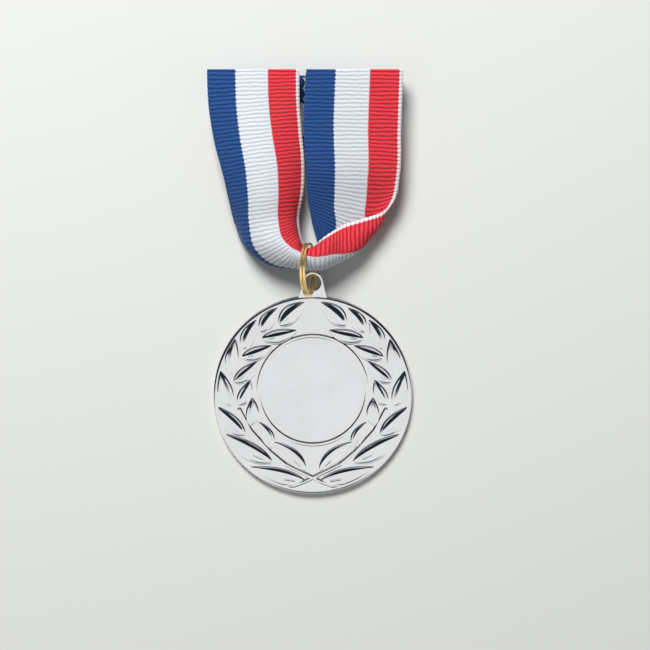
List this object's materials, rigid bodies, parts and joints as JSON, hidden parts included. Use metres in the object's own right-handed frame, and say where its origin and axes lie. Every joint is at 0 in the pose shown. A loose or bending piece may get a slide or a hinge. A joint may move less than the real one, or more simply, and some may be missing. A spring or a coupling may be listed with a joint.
{
  "type": "award medal on a neck ribbon",
  "caption": "Round struck medal with a laurel wreath round a blank centre, hung by a split ring from a striped neck ribbon.",
  "frame": {"origin": "centre of the disc's back face, which lies on the surface that the medal rests on", "axes": "+X to the right across the face, +Y from the centre of the disc towards the lug and the ribbon, +Z out of the face"},
  "size_m": [0.0513, 0.1065, 0.0136],
  "materials": {
    "medal_metal": "bright nickel plate",
    "ring_metal": "bright gilt plate",
    "ribbon_weave": "ribbed grosgrain in blue, white and red stripes",
    "thread": "sewing thread"
  },
  "bodies": {
    "medal": {"medal_disc": "medal_metal"},
    "ring": {"split_ring": "ring_metal"},
    "ribbon": {"ribbon_left_limb": "ribbon_weave", "ribbon_ring_bend": "ribbon_weave", "ribbon_right_limb": "ribbon_weave", "ribbon_left_folds": "ribbon_weave", "ribbon_right_folds": "ribbon_weave", "ribbon_crossing": "ribbon_weave", "seam_thread": "thread"}
  },
  "joints": [
    {"name": "ring_swing", "type": "hinge", "parent": "medal", "child": "ring", "pos_m": [0, 0.0282, 0.00175], "axis": [1, 0, 0], "range_deg": [-115, 0]},
    {"name": "ribbon_swing", "type": "hinge", "parent": "ring", "child": "ribbon", "pos_m": [-0.0011, 0.0314, 0.007], "axis": [0.9744, 0, 0.225], "range_deg": [-20, 90]}
  ]
}
